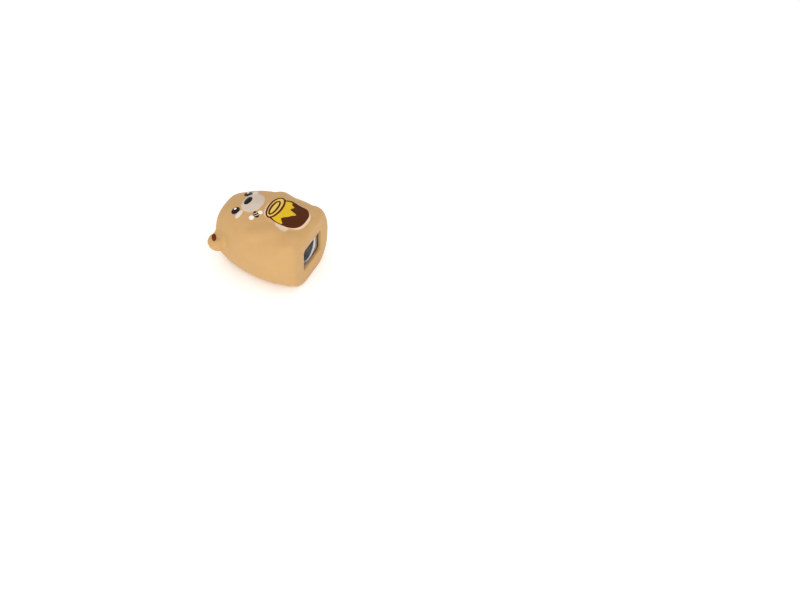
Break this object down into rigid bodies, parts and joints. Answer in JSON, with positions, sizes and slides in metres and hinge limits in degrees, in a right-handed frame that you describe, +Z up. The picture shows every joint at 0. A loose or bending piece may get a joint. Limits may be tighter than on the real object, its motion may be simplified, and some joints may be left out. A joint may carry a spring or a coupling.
{
  "type": "pencil sharpener",
  "caption": "Soft bear-shaped sleeve lying on its back, round a metal wedge pencil sharpener with one blade; the pencil goes in at its flat base.",
  "frame": {"origin": "on the surface the bear lies on, under the centre of its bounding box", "axes": "+X out of the mouth, the way the pencil comes out; +Z up, from the bear's back to its face; +Y to the bear's left"},
  "size_m": [0.0326, 0.0296, 0.0227],
  "materials": {
    "fawn_silicone": "matte",
    "cream_silicone": "matte",
    "grey_cream_silicone": "matte",
    "brown_silicone": "matte",
    "black_silicone": "satin",
    "white_silicone": "matte",
    "honey_silicone": "satin",
    "rim_silicone": "satin",
    "light_alloy": "satin",
    "blade_steel": "ground",
    "screw_steel": "satin"
  },
  "bodies": {
    "cover": {"silicone_cover": "fawn_silicone", "ear_inner_left": "brown_silicone", "ear_inner_right": "brown_silicone", "muzzle": "grey_cream_silicone", "nose": "black_silicone", "eye_left": "black_silicone", "eye_right": "black_silicone", "eye_glint_left": "white_silicone", "eye_glint_right": "white_silicone", "cheek_left": "white_silicone", "cheek_right": "white_silicone", "pot_backing": "cream_silicone", "honey_pot": "brown_silicone", "honey": "honey_silicone", "pot_rim": "rim_silicone", "pot_mouth": "rim_silicone", "paw_left": "cream_silicone", "paw_right": "cream_silicone", "bee_body": "black_silicone", "bee_wing_left": "white_silicone", "bee_wing_right": "white_silicone"},
    "sharpener": {"sharpener_body": "light_alloy"},
    "blade": {"blade": "blade_steel"},
    "screw": {"blade_screw": "screw_steel"}
  },
  "joints": [
    {"name": "sharpener_slide", "type": "slide", "parent": "cover", "child": "sharpener", "axis": [0, 0, -1], "range_m": [0, 0.017]},
    {"name": "blade_lift", "type": "slide", "parent": "sharpener", "child": "blade", "axis": [-0.1908, 0, -0.9816], "range_m": [0, 0.0036]},
    {"name": "screw_turn", "type": "hinge", "parent": "blade", "child": "screw", "pos_m": [0.00276, 0.00433, 0.00783], "axis": [-0.1908, 0, -0.9816], "range_deg": [0, 2880]}
  ],
  "couplings": [
    {"joint": "screw_turn", "follows": "blade_lift", "rad_per_m": 13963}
  ]
}
